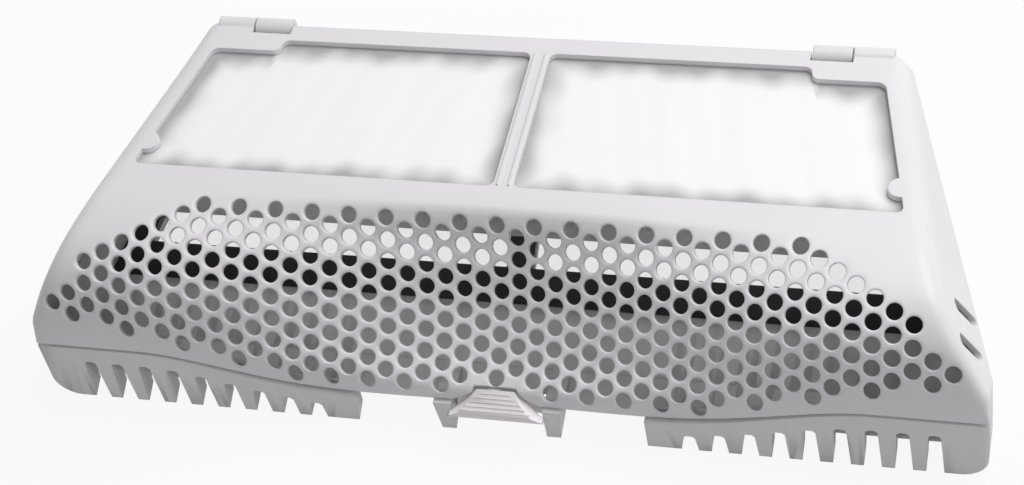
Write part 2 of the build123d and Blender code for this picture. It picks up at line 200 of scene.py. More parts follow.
def end_half(y, z):
    """Half width between the slanted end walls."""
    return PLATE_HALF - PLATE_TAPER * y - END_FLARE * z


def parting_z(y):
    """Lower edge of the upper leaf along its end walls."""
    return -EDGE_END + (y + REACH) * (EDGE_END - UPPER_BACK) / (BACK + REACH)


def shoulder_blend(x):
    """0 at the middle of the grille, 1 from the shoulders outwards."""
    t = min(abs(x) / SHOULDER, 1.0)
    return t * t * (3 - 2 * t)


def edge_z(x):
    """Lower edge of the grille's front face."""
    return -EDGE_MID + (EDGE_MID - EDGE_END) * shoulder_blend(x) ** 3


def window_side(y):
    """Outer edge of the windows in plan."""
    return end_half(y, 0) - SIDE_RAIL


def limited(value):
    """A value held between 0 and 1."""
    return max(0.0, min(1.0, value))


def ripple(waves, x, y, side=1):
    """Height of crossed waves at a point; the lead changes sign with the side."""
    return sum(height * math.sin(along * x + across * y + lead * side)
               for height, along, across, lead in waves)


def hermite(points, tangents, u):
    """Point of a smooth curve through points at the parameters STEPS."""
    k = max(i for i in range(len(STEPS) - 1) if STEPS[i] <= u or i == 0)
    h = STEPS[k + 1] - STEPS[k]
    t = (u - STEPS[k]) / h
    a, b = points[k], points[k + 1]
    ta, tb = tangents[k] * h, tangents[k + 1] * h
    return (a * (2 * t ** 3 - 3 * t ** 2 + 1) + ta * (t ** 3 - 2 * t ** 2 + t)
            + b * (3 * t ** 2 - 2 * t ** 3) + tb * (t ** 3 - t ** 2))


def grille_point(x, u):
    """(y, z) of the grille's outer face at x; u runs from the plate (0) to the upright front (1)."""
    w = shoulder_blend(x)
    points = [Vector((-REACH * (sy + w * (ry - sy)), -EDGE_MID * (sz + w * (rz - sz))))
              for (sy, sz), (ry, rz) in zip(SCOOP, ROLL)]
    tangents = []
    for i in range(len(points)):
        if i in (0, len(points) - 1):
            j = min(i, len(points) - 2)
            size = (points[j + 1] - points[j]).length / (STEPS[j + 1] - STEPS[j])
            tangents.append(Vector((-size, 0)) if i == 0 else Vector((0, -size)))
            continue
        before, after = STEPS[i] - STEPS[i - 1], STEPS[i + 1] - STEPS[i]
        slope_in = (points[i] - points[i - 1]) / before
        slope_out = (points[i + 1] - points[i]) / after
        tangents.append((slope_in * after + slope_out * before) / (before + after))
    return hermite(points, tangents, u)


# Small tools for modelling by hand in code

def deselect_all():
    """Leaves object mode with nothing selected."""
    if bpy.context.object and bpy.context.object.mode != "OBJECT":
        bpy.ops.object.mode_set(mode="OBJECT")
    bpy.ops.object.select_all(action="DESELECT")


def activate(obj):
    """Makes one object the only selected and active one."""
    deselect_all()
    obj.select_set(True)
    bpy.context.view_layer.objects.active = obj


def named_primitive(name, add, **settings):
    """Adds a primitive through its operator and names it."""
    deselect_all()
    add(**settings)
    obj = bpy.context.object
    obj.name = name
    obj.data.name = name
    return obj


def apply_modifier(obj, kind, **settings):
    """Adds a modifier with its settings and applies it."""
    activate(obj)
    modifier = obj.modifiers.new(kind.title(), kind)
    for key, value in settings.items():
        setattr(modifier, key, value)
    bpy.ops.object.modifier_apply(modifier=modifier.name)


# Edit-mode step that turns every face outwards
FACE_OUT = (bpy.ops.mesh.normals_make_consistent, {"inside": False})


def edit(obj, *steps):
    """Runs edit-mode operators, each given as (operator, settings), on the whole mesh."""
    activate(obj)
    bpy.ops.object.mode_set(mode="EDIT")
    bpy.ops.mesh.select_all(action="SELECT")
    for operator, settings in steps:
        operator(**settings)
    bpy.ops.object.mode_set(mode="OBJECT")


def joined(name, pieces):
    """Joins objects into the first one."""
    activate(pieces[0])
    for piece in pieces[1:]:
        piece.select_set(True)
    bpy.ops.object.join()
    pieces[0].name = name
    pieces[0].data.name = name
    return pieces[0]


def copies_of(template, name, places):
    """One object with a copy of a template's mesh at each matrix; the template is removed."""
    shape = bmesh.new()
    for place in places:
        before = len(shape.verts)
        shape.from_mesh(template.data)
        shape.verts.ensure_lookup_table()
        bmesh.ops.transform(shape, matrix=place, verts=shape.verts[before:])
    mesh = bpy.data.meshes.new(name)
    shape.to_mesh(mesh)
    shape.free()
    bpy.data.objects.remove(template)
    obj = bpy.data.objects.new(name, mesh)
    bpy.context.scene.collection.objects.link(obj)
    return obj


def outline_prism(name, points, low, high, corner=0.0, view=None):
    """Prism of a closed outline, with the edges along its run rounded, turned to a view if given."""
    obj = named_primitive(name, bpy.ops.mesh.primitive_circle_add,
                          vertices=len(points), radius=1.0, fill_type="NGON")
    for vertex, (x, y) in zip(obj.data.vertices, points):
        vertex.co = (x, y, low)
    if corner:
        edit(obj, (bpy.ops.mesh.bevel, {"offset": corner, "segments": 6, "affect": "VERTICES"}))
    run = {"TRANSFORM_OT_translate": {"value": (0, 0, high - low)}}
    edit(obj, (bpy.ops.mesh.extrude_region_move, run),
         (bpy.ops.mesh.select_all, {"action": "SELECT"}), FACE_OUT)
    if view:
        obj.data.transform(view)
    return obj


def combine(obj, other, operation):
    """Cuts or joins two closed pieces as triangles and removes the second."""
    for piece in (obj, other):
        edit(piece, (bpy.ops.mesh.quads_convert_to_tris, {}))
    apply_modifier(obj, "BOOLEAN", operation=operation, solver="MANIFOLD", object=other)
    bpy.data.objects.remove(other)


def cut(obj, cutter):
    """Cuts a closed cutter out of a closed piece."""
    combine(obj, cutter, "DIFFERENCE")


def add(obj, other):
    """Joins a closed piece to another."""
    combine(obj, other, "UNION")


# Directions of a prism's outline and run, for outline_prism: seen from the side, or from the front
FROM_SIDE = Matrix(((0, 0, 1, 0), (1, 0, 0, 0), (0, 1, 0, 0), (0, 0, 0, 1)))
FROM_FRONT = Matrix(((1, 0, 0, 0), (0, 0, -1, 0), (0, 1, 0, 0), (0, 0, 0, 1)))


def block(name, low, high):
    """Box between two corners."""
    middle = (Vector(low) + Vector(high)) / 2
    size = Vector(high) - Vector(low)
    obj = named_primitive(name, bpy.ops.mesh.primitive_cube_add, size=1.0)
    obj.data.transform(Matrix.Translation(middle) @ Matrix.Diagonal((*size, 1.0)))
    return obj


def rod(name, centre, radius, start, end, flats=40):
    """Cylinder along X about a point (y, z)."""
    obj = named_primitive(name, bpy.ops.mesh.primitive_cylinder_add,
                          vertices=flats, radius=radius, depth=end - start)
    turn = Matrix.Rotation(math.pi / 2, 4, "Y")
    obj.data.transform(Matrix.Translation(((start + end) / 2, *centre)) @ turn)
    return obj


def finish_piece(obj, body, material, node):
    """Shades and dresses a finished piece, and hangs it on its body in place of a CAD node."""
    activate(obj)
    bpy.ops.object.shade_smooth_by_angle(angle=math.radians(35.0))
    obj.data.materials.clear()
    obj.data.materials.append(material)
    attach(obj, body)
    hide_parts(node)


# Shader maths

class Value:
    """A shader socket that takes part in Python expressions."""

    def __init__(self, tree, socket):
        self.tree = tree
        self.socket = socket

    def _math(self, operation, first, second):
        return self.tree.add("ShaderNodeMath", {"operation": operation}, {0: first, 1: second})

    def __add__(self, other):
        return self._math("ADD", self, other)

    def __radd__(self, other):
        return self._math("ADD", other, self)

    def __mul__(self, other):
        return self._math("MULTIPLY", self, other)

    def __rmul__(self, other):
        return self._math("MULTIPLY", other, self)

    def sine(self):
        """Sine of this value."""
        return self._math("SINE", self, 0.0)


class Nodes:
    """Node tree of one material."""

    def __init__(self, name):
        self.material = bpy.data.materials.new(name)
        self.material.use_nodes = True
        self.tree = self.material.node_tree
        self.tree.nodes.clear()
        self.output = self.tree.nodes.new("ShaderNodeOutputMaterial")

    def add(self, kind, settings=None, inputs=None, out=0):
        """Adds a node: settings first, then values or links of its sockets; gives one output."""
        node = self.tree.nodes.new(kind)
        for key, value in (settings or {}).items():
            setattr(node, key, value)
        for key, value in (inputs or {}).items():
            if isinstance(value, Value):
                self.tree.links.new(value.socket, node.inputs[key])
            else:
                node.inputs[key].default_value = value
        return Value(self, node.outputs[out])

    def surface(self, shader):
        """Links a shader to the output."""
        self.tree.links.new(shader.socket, self.output.inputs["Surface"])
        return self.material

    def place(self, scale=(1.0, 1.0, 1.0)):
        """Object coordinates, scaled."""
        where = self.add("ShaderNodeTexCoord", out=3)
        return self.add("ShaderNodeMapping", {}, {"Vector": where, "Scale": scale})

    def noise(self, scale, detail=3.0, roughness=0.55):
        """Cloudy value between 0 and 1 with features 1/scale metres wide."""
        return self.add("ShaderNodeTexNoise", {}, {
            "Vector": self.place(), "Scale": scale, "Detail": detail, "Roughness": roughness}, out=0)

    def blend(self, factor, first, second):
        """Mix of two colours."""
        return self.add("ShaderNodeMix", {"data_type": "RGBA"}, {0: factor, 6: first, 7: second}, out=2)


def srgb(*levels):
    """An sRGB colour from its levels in 0..255."""
    return tuple(level / 255 for level in levels)


def linear(colour):
    """Linear colour, with its alpha, of an sRGB colour."""
    return tuple(((c + 0.055) / 1.055) ** 2.4 for c in colour) + (1.0,)


def moulded_plastic(name, colour, shade, roughness):
    """Satin moulded plastic: slight flow clouds in colour and gloss, a fine grain and soft edges."""
    nodes = Nodes(name)
    clouds = nodes.noise(22.0)
    grain_height = nodes.noise(2600.0, 2.0)
    base = nodes.blend(clouds, linear(colour), linear(shade))
    soft_edge = nodes.add("ShaderNodeBevel", {"samples": 8}, {"Radius": 0.8 * MM})
    bump = nodes.add("ShaderNodeBump", {}, {
        "Strength": 0.25, "Distance": 0.03 * MM, "Height": grain_height, "Normal": soft_edge})
    return nodes.surface(nodes.add("ShaderNodeBsdfPrincipled", {}, {
        "Base Color": base, "Roughness": roughness - 0.06 + clouds * 0.12, "IOR": 1.46, "Normal": bump}))


def woven_mesh(name, colour, shade, clear):
    """Fine white filter cloth: crossed threads in colour and bump, painted shade from the edge attribute
    in its colour, partly clear between the threads.
    """
    nodes = Nodes(name)
    where = nodes.place()
    along = nodes.add("ShaderNodeSeparateXYZ", {}, {0: where}, out="X")
    across = nodes.add("ShaderNodeSeparateXYZ", {}, {0: where}, out="Y")
    pitch = 2 * math.pi / (THREAD_PITCH * MM)
    weave = (along * pitch).sine() * (across * pitch).sine() * 0.5 + 0.5
    # Painted shade: where the edge attribute is set, the colour is darkened towards the shade colour
    # along the window edges; the weave adds the threads' own pattern
    edge = nodes.add("ShaderNodeAttribute", {"attribute_name": "edge"}, out="Fac")
    base = nodes.blend(edge * 0.9 + weave * 0.1, linear(colour), linear(shade))
    bump = nodes.add("ShaderNodeBump", {}, {"Strength": 0.3, "Distance": 0.0001, "Height": weave})
    cloth = nodes.add("ShaderNodeBsdfPrincipled", {}, {
        "Base Color": base, "Roughness": 0.75 + weave * 0.15, "Normal": bump})
    through = nodes.add("ShaderNodeBsdfTranslucent", {}, {"Color": linear(colour)})
    lit = nodes.add("ShaderNodeMixShader", {}, {0: 0.12, 1: cloth, 2: through})
    gap = nodes.add("ShaderNodeBsdfTransparent", {}, {"Color": WHITE})
    shadow = nodes.add("ShaderNodeLightPath", out="Is Shadow Ray")
    return nodes.surface(nodes.add("ShaderNodeMixShader", {}, {0: shadow * 0.5 + clear, 1: lit, 2: gap}))


def drawn_steel(name, colour, shade):
    """Steel wire with fine lines along the pin."""
    nodes = Nodes(name)
    stretched = nodes.place((40.0, 4000.0, 4000.0))
    lines = nodes.add("ShaderNodeTexNoise", {}, {"Vector": stretched, "Scale": 1.0})
    base = nodes.blend(lines, linear(colour), linear(shade))
    return nodes.surface(nodes.add("ShaderNodeBsdfPrincipled", {}, {
        "Base Color": base, "Metallic": 1.0, "Roughness": 0.25 + lines * 0.2}))


# Sizes and colours that a user would change

class FilterLooks(bpy.types.PropertyGroup):
    """Sizes and colours of the filter's looks."""

    hole_diameter: bpy.props.FloatProperty(
        name="Hole diameter", description="Diameter of the round air holes",
        default=6.0 * MM, min=3.0 * MM, max=7.0 * MM, subtype="DISTANCE", unit="LENGTH")
    hole_flats: bpy.props.IntProperty(
        name="Hole facets", description="Flats round each air hole", default=24, min=12, max=64)
    rim: bpy.props.FloatProperty(
        name="Rim rounding", description="Rounding of the hole rims",
        default=0.55 * MM, min=0.05 * MM, max=0.7 * MM, subtype="DISTANCE", unit="LENGTH")
    end_round: bpy.props.FloatProperty(
        name="End rounding", description="Rounding between plate and end walls",
        default=6.0 * MM, min=0.5 * MM, max=9.0 * MM, subtype="DISTANCE", unit="LENGTH")
    upper_colour: bpy.props.FloatVectorProperty(
        name="Upper leaf", description="Colour of the upper moulding",
        default=srgb(232, 230, 233), min=0.0, max=1.0, subtype="COLOR_GAMMA")
    lower_colour: bpy.props.FloatVectorProperty(
        name="Lower leaf", description="Colour of the lower moulding",
        default=srgb(229, 230, 228), min=0.0, max=1.0, subtype="COLOR_GAMMA")
    catch_colour: bpy.props.FloatVectorProperty(
        name="Catch", description="Colour of the catch",
        default=srgb(252, 247, 250), min=0.0, max=1.0, subtype="COLOR_GAMMA")
    frame_colour: bpy.props.FloatVectorProperty(
        name="Screen frame", description="Colour of the dark screen frame",
        default=srgb(50, 50, 53), min=0.0, max=1.0, subtype="COLOR_GAMMA")
    mesh_colour: bpy.props.FloatVectorProperty(
        name="Mesh", description="Colour of the filter cloth",
        default=srgb(253, 253, 253), min=0.0, max=1.0, subtype="COLOR_GAMMA")
    pin_colour: bpy.props.FloatVectorProperty(
        name="Pins", description="Colour of the steel hinge pins",
        default=srgb(176, 176, 180), min=0.0, max=1.0, subtype="COLOR_GAMMA")


def looks():
    """The user's settings."""
    return bpy.context.scene.filter_looks


def darker(colour, share):
    """A colour taken down by a share."""
    return tuple(c * (1 - share) for c in colour)


# Upper leaf

WALL_COLUMNS = 5
ROUND_COLUMNS = 6
TOP_COLUMNS = 120
BACK_ROWS = 2
PLATE_ROWS = 6
ROLL_ROWS = 40
FRONT_ROWS = 4


def leaf_row(row):
    """A row of the leaf's sheet: a function from x to (y, z)."""
    if row <= BACK_ROWS:
        depth = UPPER_BACK * (1 - row / BACK_ROWS)
        return lambda x: Vector((BACK, -depth))
    row -= BACK_ROWS
    if row <= PLATE_ROWS:
        share = row / PLATE_ROWS
        return lambda x: Vector((BACK + (grille_point(x, 0)[0] - BACK) * share, 0.0))
    row -= PLATE_ROWS
    if row <= ROLL_ROWS:
        return lambda x: grille_point(x, row / ROLL_ROWS)
    share = (row - ROLL_ROWS) / FRONT_ROWS

    def upright(x):
        foot = grille_point(x, 1)
        return Vector((foot[0], foot[1] + (edge_z(x) - foot[1]) * share))
    return upright


def wall_point(y, z):
    """Point of the right end wall."""
    return Vector((min(END_HALF, end_half(y, z)), y, z))


def leaf_border(row):
    """Corner between the leaf's sheet and its right end wall in one row."""
    section = leaf_row(row)
    x = END_HALF
    for _ in range(14):
        y, z = section(x)
        x = min(END_HALF, end_half(y, z))
    return Vector((x, *section(x)))


def leaf_columns(row, share, rounding):
    """Points of one row, from the middle round the border to the foot of the right end wall."""
    section = leaf_row(row)
    border = leaf_border(row)
    foot_y = BACK - share * (BACK + REACH)
    foot = wall_point(foot_y, parting_z(foot_y))
    height = (foot - border).yz.length
    fillet = min(rounding, 0.45 * height)
    points = []
    for i in range(TOP_COLUMNS // 2 + 1):
        x = (border.x - fillet) * i / (TOP_COLUMNS // 2)
        points.append(Vector((x, *section(x))))
    start = fillet / height if height > 0.001 else 0.0
    wall = [border.yz.lerp(foot.yz, start + (1 - start) * i / WALL_COLUMNS)
            for i in range(WALL_COLUMNS + 1)]
    drop = wall_point(*wall[0])
    for i in range(1, ROUND_COLUMNS + 1):
        t = i / ROUND_COLUMNS
        points.append(points[TOP_COLUMNS // 2] * (1 - t) ** 2 + border * 2 * t * (1 - t) + drop * t * t)
    return points + [wall_point(*place) for place in wall[1:]]


def leaf_sheet(rounding):
    """Outer skin of the upper leaf as one grid, from wall foot to wall foot and back to front."""
    rows = BACK_ROWS + PLATE_ROWS + ROLL_ROWS + FRONT_ROWS
    half = TOP_COLUMNS // 2 + ROUND_COLUMNS + WALL_COLUMNS
    sheet = named_primitive("upper_shell", bpy.ops.mesh.primitive_grid_add,
                            x_subdivisions=2 * half, y_subdivisions=rows, size=2.0)
    borders = [leaf_border(row) for row in range(rows + 1)]
    run = [0.0]
    for before, after in zip(borders, borders[1:]):
        run.append(run[-1] + (after - before).length)
    table = [leaf_columns(row, run[row] / run[-1], rounding) for row in range(rows + 1)]
    for vertex in sheet.data.vertices:
        column = round((vertex.co.x + 1) * half) - half
        row = round((1 - vertex.co.y) / 2 * rows)
        point = table[row][abs(column)]
        vertex.co = (math.copysign(point.x, column) if column else 0.0, point.y, point.z)
    edit(sheet, (bpy.ops.mesh.remove_doubles, {"threshold": 0.001}), FACE_OUT)
    return sheet


def hole_places():
    """Centre of each air hole, level with the windows' front edge, and the end of its cut."""
    places = []
    for row, reach in enumerate(ROW_REACH):
        across = FIRST_ROW + row * HOLE_PITCH / 2
        end = min((across * math.sin(DRAW) - LIP_Y - WALL) / math.cos(DRAW), REACH / 2)
        for k in range(-reach, reach + 1, 2):
            if row == len(ROW_REACH) - 1 and abs(k) == 1:
                continue
            places.append((Vector((k * HOLE_COLUMN, 0, 0)) + DRAW_DOWN * across, end))
    return places


def mouth_rings(rim):
    """Rings of a hole's mouth as (wider than the hole, depth under the skin), from outside inwards."""
    arcs = [math.radians(angle) for angle in MOUTH_ARC]
    mouth = [(rim * (1 - math.sin(arc)), rim * (1 - math.cos(arc))) for arc in arcs]
    wider, depth = mouth[0]
    lead = (wider + rim / 2, depth - rim / 2 * math.tan(arcs[0]))
    return [(lead[0], lead[1] - WALL / 2), lead, *mouth]


def skin_depth(skin, point, middle, normal):
    """Where the draw line through a point meets the skin, and how squarely."""
    run_up = 2 * REACH
    flat = (middle - point).dot(normal) / DRAW_AXIS.dot(normal)
    spot, lean, _, reached = skin.ray_cast(point - DRAW_AXIS * run_up, DRAW_AXIS)
    if spot is None or abs(reached - run_up - flat) > WALL:
        return flat, -normal.dot(DRAW_AXIS)
    return reached - run_up, -lean.dot(DRAW_AXIS)


def hole_cutter(shell, diameter, flats, rim):
    """All air-hole cutters along the draw direction, each with a mouth that rounds its outer rim."""
    skin = BVHTree.FromPolygons([vertex.co for vertex in shell.data.vertices],
                                [face.vertices for face in shell.data.polygons])
    rings = mouth_rings(rim)
    template = named_primitive("hole_cutter", bpy.ops.mesh.primitive_circle_add,
                               vertices=flats, radius=1.0, fill_type="NGON")
    rise = (bpy.ops.mesh.extrude_region_move, {"TRANSFORM_OT_translate": {"value": (0, 0, 1)}})
    edit(template, *[rise] * len(rings))
    spots = [(vertex.co.x, vertex.co.y, round(vertex.co.z)) for vertex in template.data.vertices]
    places = hole_places()
    cutter = copies_of(template, "hole_cutter", [Matrix.Identity(4)] * len(places))
    for first, (centre, end) in zip(range(0, len(cutter.data.vertices), len(spots)), places):
        middle, normal, _, _ = skin.ray_cast(centre - DRAW_AXIS * 2 * REACH, DRAW_AXIS)
        for index, (x, y, ring) in enumerate(spots):
            wider, depth = rings[ring] if ring < len(rings) else (0.0, 0.0)
            point = centre + (Vector((x, 0, 0)) + DRAW_DOWN * y) * (diameter / 2 + wider)
            if ring < len(rings):
                along, lean = skin_depth(skin, point, middle, normal)
                along += depth / max(LEAST_LEAN, lean)
            else:
                along = end
            cutter.data.vertices[first + index].co = point + DRAW_AXIS * along
    edit(cutter, FACE_OUT)
    return cutter


def window_outline(side):
    """Corners of one window in plan, counter-clockwise."""
    notch_y = WINDOW_DEPTH - NOTCH_DEPTH
    notch_x = window_side(WINDOW_DEPTH) - NOTCH_WIDTH
    points = [(BAR_HALF, 0), (window_side(0), 0), (window_side(notch_y), notch_y), (notch_x, notch_y),
              (notch_x, WINDOW_DEPTH), (BAR_HALF, WINDOW_DEPTH)]
    return [(side * x, y) for x, y in (points if side > 0 else reversed(points))]


def window_cutter(side):
    """Cutter of one window, which leaves the round staking tab on its outer edge."""
    cutter = outline_prism("window_cutter", window_outline(side), -3 * WALL, WALL, corner=WINDOW_CORNER)
    stake = named_primitive("stake", bpy.ops.mesh.primitive_cylinder_add,
                            vertices=40, radius=STAKE_R, depth=10 * WALL)
    stake.data.transform(Matrix.Translation((side * window_side(STAKE_Y), STAKE_Y, 0)))
    cut(cutter, stake)
    return cutter


def vent_cutter(side, step):
    """Cutter of one slanted oblong vent in an end wall."""
    reach = VENT_LENGTH / 2
    half = VENT_WIDTH / 2
    start = PLATE_HALF - 2 * WALL
    outline = [(-reach, -half), (reach, -half), (reach, half), (-reach, half)]
    lean = Matrix.Rotation(math.pi / 2 + VENT_LEAN, 4, "Z")
    vent = outline_prism("vent_cutter", outline, start, END_HALF + WALL, corner=half * 0.98)
    vent.data.transform(FROM_SIDE @ Matrix.Translation((-VENT_Y + step * VENT_STEP, -VENT_Z, 0)) @ lean)
    if side < 0:
        vent.data.transform(Matrix.Diagonal((-1, 1, 1, 1)))
        edit(vent, FACE_OUT)
    return vent


def arch_cutter():
    """Cutter of the arch over the finger grip."""
    outline = []
    for i in range(9):
        t = i / 8
        half = ARCH_FOOT + (ARCH_TOP - ARCH_FOOT) * t - 4 * ARCH_SAG * t * (1 - t)
        outline.append((half, -ARCH_LOW + (ARCH_LOW - ARCH_HIGH) * t))
    outline += [(-x, z) for x, z in reversed(outline)]
    return outline_prism("arch_cutter", outline, REACH / 2, 2 * REACH, view=FROM_FRONT)


def lint_lip():
    """Lip that hangs ahead of the windows, from end wall to end wall."""
    outline = []
    for z in (-WALL / 2, -LIP_DEPTH):
        outline.append((end_half(-LIP_Y, z) - WALL / 2, z))
    outline += [(-x, z) for x, z in reversed(outline)]
    return outline_prism("lint_lip", outline, LIP_Y - WALL / 2, LIP_Y + WALL / 2, view=FROM_FRONT)


class FILTER_OT_upper_leaf(bpy.types.Operator):
    """Models the upper moulding: plate with windows, round-holed grille, end walls and knuckles"""

    bl_idname = "filter.upper_leaf"
    bl_label = "Upper leaf"

    def execute(self, context):
        settings = looks()
        shell = leaf_sheet(settings.end_round / MM)
        apply_modifier(shell, "SOLIDIFY", thickness=WALL, offset=-1.0,
                       use_even_offset=True, use_quality_normals=True)
        for side in (-1, 1):
            cut(shell, window_cutter(side))
            for step in (0, 1):
                cut(shell, vent_cutter(side, step))
            self.knuckle(shell, side)
            rib_x = side * (BAR_HALF - 2 * BAR_RIB)
            add(shell, block("rib", (rib_x - BAR_RIB / 2, RIB_END, -WALL / 2),
                             (rib_x + BAR_RIB / 2, WINDOW_DEPTH - RIB_END, BAR_RIB / 2)))
        add(shell, lint_lip())
        cut(shell, arch_cutter())
        holes = hole_cutter(shell, settings.hole_diameter / MM, settings.hole_flats, settings.rim / MM)
        cut(shell, holes)
        shell.data.transform(LAY)
        finish_piece(shell, "upper", moulded_plastic(
            "grey_white_plastic", settings.upper_colour, darker(settings.upper_colour, 0.03), 0.42),
            node="upper_leaf")
        return {"FINISHED"}

    def knuckle(self, shell, side):
        """Adds an outer knuckle with its bore, and the notch for the inner one beside it."""
        joint = HINGE_X + KNUCKLE_GAP / 2
        near, far = sorted((side * (HINGE_X - KNUCKLE_W - KNUCKLE_GAP), side * joint))
        notch_front = HINGE.y - KNUCKLE_R - NOTCH_GAP
        cut(shell, block("notch", (near, notch_front, -2 * UPPER_BACK), (far, BACK + WALL, WALL)))
        near, far = sorted((side * joint, side * (HINGE_X + KNUCKLE_W)))
        add(shell, rod("knuckle", HINGE.yz, KNUCKLE_R, near, far))
        cut(shell, rod("bore", HINGE.yz, BORE_R, near - 1, far + 1, flats=24))


# Lower leaf, catch, frame and screens

def cad_copy(name):
    """Copy of a CAD node as clean faces, in the drawn frame."""
    mesh = frame["nodes"][name].data.copy()
    mesh.name = name + "_shape"
    obj = bpy.data.objects.new(name + "_shape", mesh)
    bpy.context.scene.collection.objects.link(obj)
    mesh.transform(LAY.inverted())
    edit(obj, (bpy.ops.mesh.remove_doubles, {"threshold": 0.002}),
         (bpy.ops.mesh.dissolve_limited, {"angle_limit": math.radians(2)}), FACE_OUT)
    return obj


def drawn_seam(x):
    """Depth of the comb's top in the CAD source, straight between its sections."""
    places = [HOLE_COLUMN * (0.5 + SECTION_STEP * i) for i in range(6)] + [END_HALF]
    x = max(abs(x), places[0])
    for before, after in zip(places, places[1:]):
        if x <= after + 0.01:
            return edge_z(before) + (edge_z(after) - edge_z(before)) * (x - before) / (after - before)
    return edge_z(x)


def smooth_seam(obj):
    """Gives the tops of the combs the smooth line of the grille's edge."""
    shape = bmesh.new()
    shape.from_mesh(obj.data)
    for i in range(SEAM_CUTS):
        for side in (-1, 1):
            x = side * (COMB_INNER + (END_HALF - COMB_INNER) * (i + 0.5) / SEAM_CUTS)
            bmesh.ops.bisect_plane(shape, geom=shape.verts[:] + shape.edges[:] + shape.faces[:],
                                   plane_co=(x, 0, 0), plane_no=(1, 0, 0))
    for vertex in shape.verts:
        x, y, z = vertex.co
        on_comb = abs(x) > COMB_INNER - 0.01 and y < -REACH + COMB_DEPTH + 0.01
        if on_comb and abs(z - drawn_seam(x) + PART_GAP) < 0.02:
            vertex.co.z = edge_z(x) - SEAM_SHOWN
    shape.to_mesh(obj.data)
    shape.free()


def round_end_cutter(side):
    """Cutter that carries the round outer corner of a comb through the end wall behind it."""
    centre = (END_HALF - END_ROUND, -FOOT_FRONT + END_ROUND)
    outline = [(END_HALF + 2, -FOOT_FRONT - 2), (END_HALF + 2, centre[1])]
    for i in range(13):
        turn = -math.pi / 2 * i / 12
        outline.append((centre[0] + END_ROUND * math.cos(turn), centre[1] + END_ROUND * math.sin(turn)))
    outline.append((centre[0], -FOOT_FRONT - 2))
    outline = [(side * x, z) for x, z in outline]
    return outline_prism("round_end", outline, REACH - END_ROUND_BACK, REACH + 2, view=FROM_FRONT)


def front_floor(side):
    """Front of the floor between the fins, which closes the pocket up to a slit behind the comb."""
    slope = (FOOT_FRONT - FOOT_BACK) / (BACK + REACH)

    def lift(y, height):
        return -FOOT_FRONT + (y + REACH) * slope + height / math.cos(WEDGE)

    def strip(start, end, front):
        corners = ((STRIP_BACK, STRIP_LOW), (STRIP_BACK, STRIP_HIGH),
                   (front, STRIP_HIGH), (front, STRIP_LOW))
        outline = [(y, lift(y, height)) for y, height in corners]
        near, far = sorted((side * start, side * end))
        return outline_prism("front_floor", outline, near, far, view=FROM_SIDE)

    beside_leg = LEG_OUT + 1.0
    return joined("front_floor", [strip(beside_leg, END_HALF - STRIP_END, STRIP_FRONT),
                                  strip(0.0, beside_leg, STRIP_AT_CATCH)])


def seam_tongue(side):
    """Tongue on a comb that stands behind the seam and keeps light out of it."""
    strip = named_primitive("seam_tongue", bpy.ops.mesh.primitive_grid_add,
                            x_subdivisions=TONGUE_STEPS, y_subdivisions=1, size=2.0)
    for vertex in strip.data.vertices:
        share = (vertex.co.x + 1) / 2
        x = COMB_INNER + 1 + (END_HALF - 4 - COMB_INNER) * share
        z = edge_z(x) + (TONGUE_ABOVE if vertex.co.y > 0 else -TONGUE_BELOW)
        vertex.co = (side * x, grille_point(x, 1)[0] + WALL + TONGUE_BACK, z)
    apply_modifier(strip, "SOLIDIFY", thickness=TONGUE_THICK, offset=0.0)
    edit(strip, FACE_OUT)
    return strip


class FILTER_OT_lower_leaf(bpy.types.Operator):
    """Models the lower moulding with soft edges and a smooth seam"""

    bl_idname = "filter.lower_leaf"
    bl_label = "Lower leaf"

    def execute(self, context):
        settings = looks()
        leaf = cad_copy("lower_leaf")
        smooth_seam(leaf)
        for side in (-1, 1):
            cut(leaf, round_end_cutter(side))
        fillers = [make(side) for make in (front_floor, seam_tongue) for side in (-1, 1)]
        leaf = joined("lower_leaf_shape", [leaf, *fillers])
        leaf.data.transform(LAY)
        finish_piece(leaf, "lower", moulded_plastic(
            "grey_plastic", settings.lower_colour, darker(settings.lower_colour, 0.04), 0.45),
            node="lower_leaf")
        return {"FINISHED"}


class FILTER_OT_catch(bpy.types.Operator):
    """Models the finger grip with its fine ribs"""

    bl_idname = "filter.catch"
    bl_label = "Catch"

    def execute(self, context):
        settings = looks()
        grip = cad_copy("catch")
        pieces = [grip]
        for i in range(GRIP_RIBS):
            t = GRIP_RIB_FIRST + GRIP_RIB_SPAN * i / (GRIP_RIBS - 1)
            half = GRIP_TOP_HALF + (GRIP_FOOT_HALF - GRIP_TOP_HALF) * t - GRIP_RIB_INSET
            pieces.append(rod("grip_rib", GRIP_TOP.lerp(GRIP_FOOT, t), GRIP_RIB_R, -half, half, flats=10))
        grip = joined("catch_shape", pieces)
        grip.data.transform(LAY)
        finish_piece(grip, "catch", moulded_plastic(
            "pale_plastic", settings.catch_colour, darker(settings.catch_colour, 0.03), 0.42),
            node="catch")
        return {"FINISHED"}


